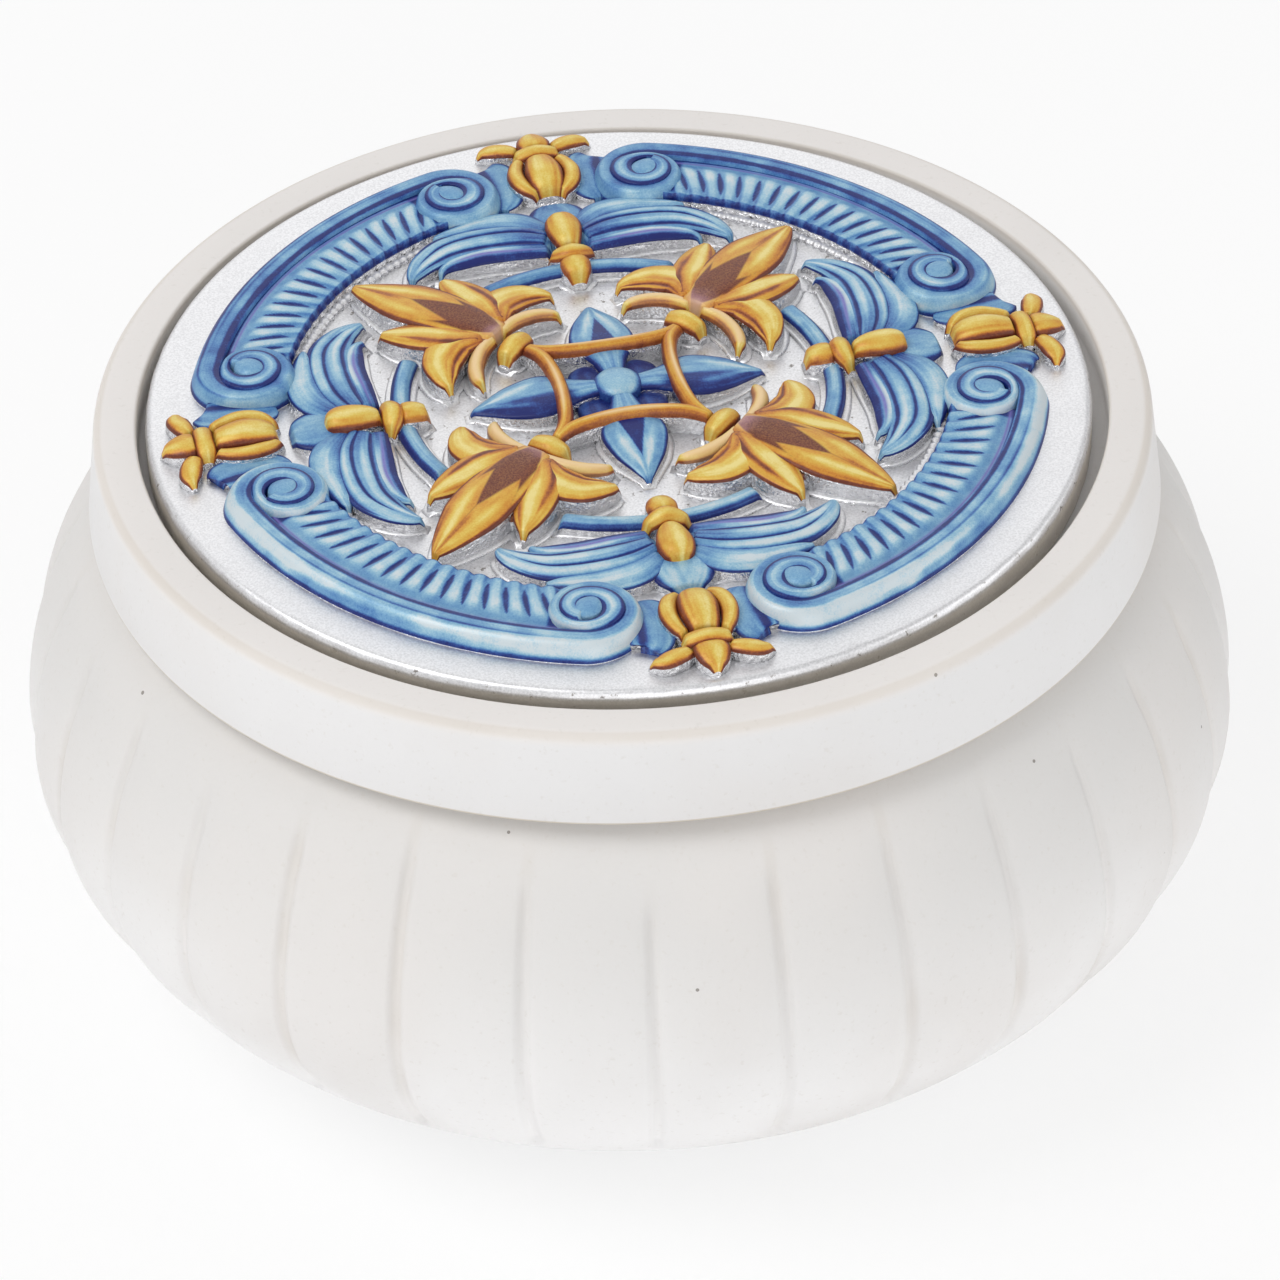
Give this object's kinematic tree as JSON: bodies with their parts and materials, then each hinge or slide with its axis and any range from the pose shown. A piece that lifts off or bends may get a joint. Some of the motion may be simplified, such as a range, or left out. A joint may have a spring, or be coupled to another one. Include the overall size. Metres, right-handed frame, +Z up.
{
  "type": "round keepsake box",
  "caption": "Round keepsake box: a softly fluted squat bowl and a lift-off lid whose recess holds a silver relief plaque with blue and gold enamelled scrolls.",
  "frame": {"origin": "centre of the underside, on the surface that the box stands on", "axes": "+Z up along the turned axis of bowl and lid; +Y along one axis of the relief, from the centre to a bud"},
  "size_m": [0.11, 0.11, 0.057],
  "materials": {
    "casting": "matte",
    "felt": "matte",
    "tape": "matte",
    "core_resin": "matte",
    "silver_sheet": "satin",
    "blue_enamel": "gloss",
    "gold_enamel": "gloss"
  },
  "bodies": {
    "base": {"bowl": "casting", "base_pad": "felt"},
    "lid": {"lid": "casting", "plaque_tape": "tape", "plaque_core": "core_resin", "plaque_sheet": "silver_sheet", "scroll_arc_1": "blue_enamel", "scroll_arc_2": "blue_enamel", "scroll_arc_3": "blue_enamel", "scroll_arc_4": "blue_enamel", "bud_1": "gold_enamel", "bud_2": "gold_enamel", "bud_3": "gold_enamel", "bud_4": "gold_enamel", "leaf_pair_1": "blue_enamel", "leaf_pair_2": "blue_enamel", "leaf_pair_3": "blue_enamel", "leaf_pair_4": "blue_enamel", "leaf_clasp_1": "gold_enamel", "leaf_clasp_2": "gold_enamel", "leaf_clasp_3": "gold_enamel", "leaf_clasp_4": "gold_enamel", "stem_arc_1": "blue_enamel", "stem_arc_2": "blue_enamel", "stem_arc_3": "blue_enamel", "stem_arc_4": "blue_enamel", "lily_head_1": "gold_enamel", "lily_head_2": "gold_enamel", "lily_head_3": "gold_enamel", "lily_head_4": "gold_enamel", "rosette": "blue_enamel", "link_band": "gold_enamel"}
  },
  "joints": [
    {"name": "lid_lift", "type": "slide", "parent": "base", "child": "lid", "axis": [0, 0, 1], "range_m": [0, 0.06]}
  ]
}
